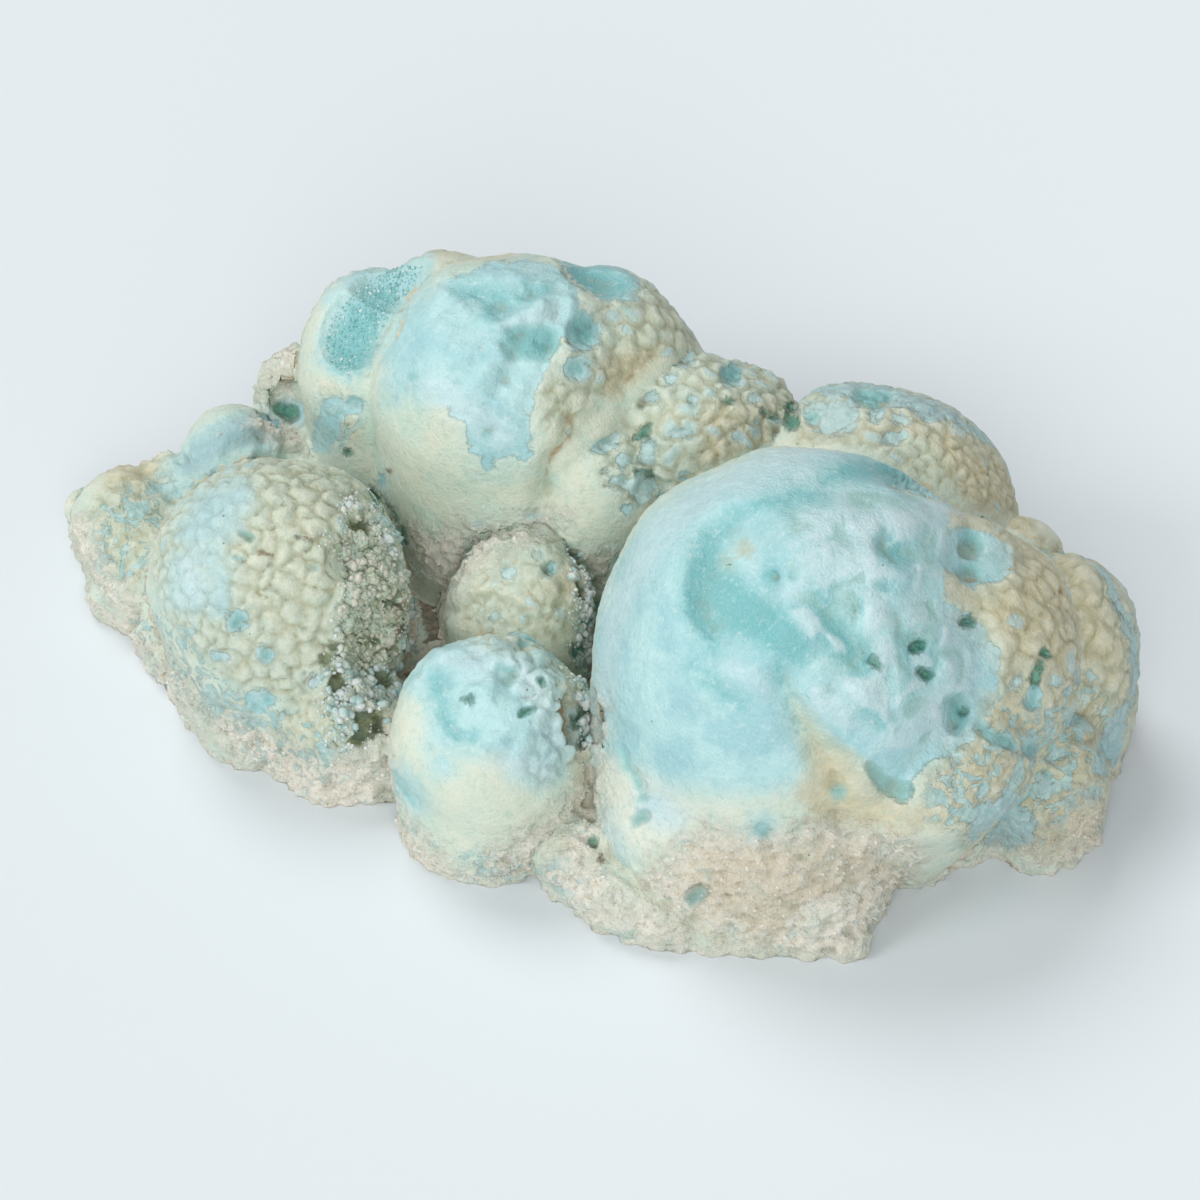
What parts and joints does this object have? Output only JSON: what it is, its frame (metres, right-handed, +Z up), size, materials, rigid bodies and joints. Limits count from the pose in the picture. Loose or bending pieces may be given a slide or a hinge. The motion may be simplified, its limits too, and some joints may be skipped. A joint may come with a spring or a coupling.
{
  "type": "blue aragonite specimen",
  "caption": "Cabinet specimen of blue aragonite: rounded blue-green domes with pebbly and pitted skin, grown together on a chalky matrix cut flat underneath.",
  "frame": {"origin": "middle of the bounding box, on the flat cut underneath", "axes": "+X along the longest side to the great dome's end, +Y to the back, +Z up"},
  "size_m": [0.1552, 0.1102, 0.0563],
  "materials": {
    "aragonite": "waxy, slightly translucent domes with a matt chalky base"
  },
  "bodies": {
    "root": {"aragonite": "aragonite"}
  },
  "joints": []
}
